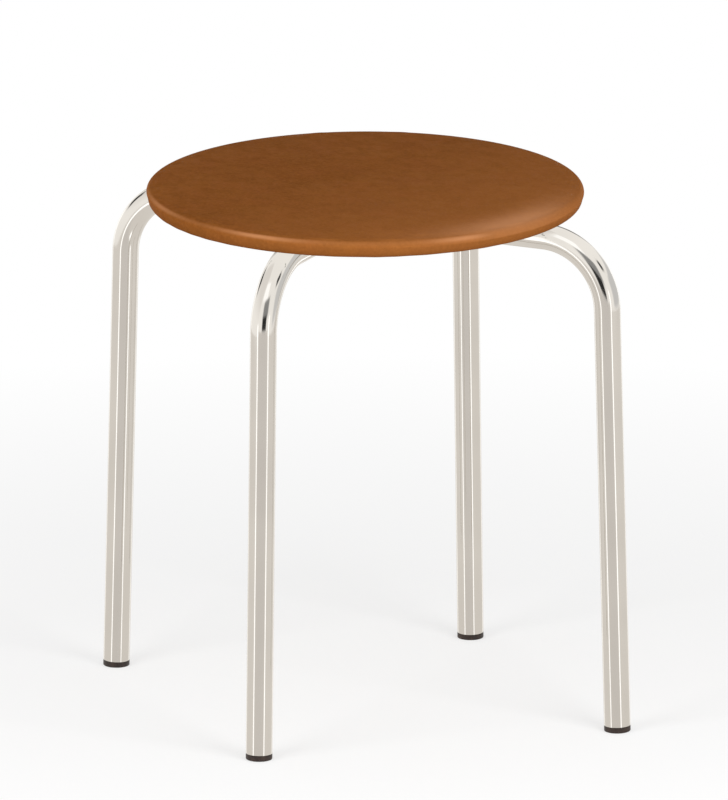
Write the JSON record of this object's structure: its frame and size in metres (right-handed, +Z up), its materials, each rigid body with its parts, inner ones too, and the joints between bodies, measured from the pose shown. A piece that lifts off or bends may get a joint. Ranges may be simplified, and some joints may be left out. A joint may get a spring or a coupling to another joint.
{
  "type": "round stacking stool",
  "caption": "Low round backless stool: a thin padded disc seat on crossed inverted-U hoops of bright tube, with black plugs as feet.",
  "frame": {"origin": "on the floor, straight below the middle of the seat", "axes": "+Z up; the wider hoop's two legs stand on the X axis and the narrower hoop's two on the Y axis"},
  "size_m": [0.4882, 0.4322, 0.446],
  "materials": {
    "leatherette": "caramel brown, mottled, fine grain, soft sheen",
    "foam": "cream open-cell foam",
    "plywood": "raw birch plywood",
    "chromed_tube": "mirror-bright chrome plate",
    "zinc_steel": "zinc-plated steel",
    "black_nylon": "matt black nylon",
    "black_plug": "matt black polyethylene, a little scuffed"
  },
  "bodies": {
    "root": {"seat_cover": "leatherette", "seat_foam": "foam", "seat_board": "plywood", "staple_01": "zinc_steel", "staple_02": "zinc_steel", "staple_03": "zinc_steel", "staple_04": "zinc_steel", "staple_05": "zinc_steel", "staple_06": "zinc_steel", "staple_07": "zinc_steel", "staple_08": "zinc_steel", "staple_09": "zinc_steel", "staple_10": "zinc_steel", "staple_11": "zinc_steel", "staple_12": "zinc_steel", "staple_13": "zinc_steel", "staple_14": "zinc_steel", "staple_15": "zinc_steel", "staple_16": "zinc_steel", "staple_17": "zinc_steel", "staple_18": "zinc_steel", "staple_19": "zinc_steel", "staple_20": "zinc_steel", "leg_hoop_x": "chromed_tube", "leg_hoop_y": "chromed_tube", "crossing_rivet": "zinc_steel", "seat_bolt_01": "zinc_steel", "saddle_washer_01": "black_nylon", "tee_nut_01": "zinc_steel", "foot_plug_01": "black_plug", "seat_bolt_02": "zinc_steel", "saddle_washer_02": "black_nylon", "tee_nut_02": "zinc_steel", "foot_plug_02": "black_plug", "seat_bolt_03": "zinc_steel", "saddle_washer_03": "black_nylon", "tee_nut_03": "zinc_steel", "foot_plug_03": "black_plug", "seat_bolt_04": "zinc_steel", "saddle_washer_04": "black_nylon", "tee_nut_04": "zinc_steel", "foot_plug_04": "black_plug"}
  },
  "joints": []
}
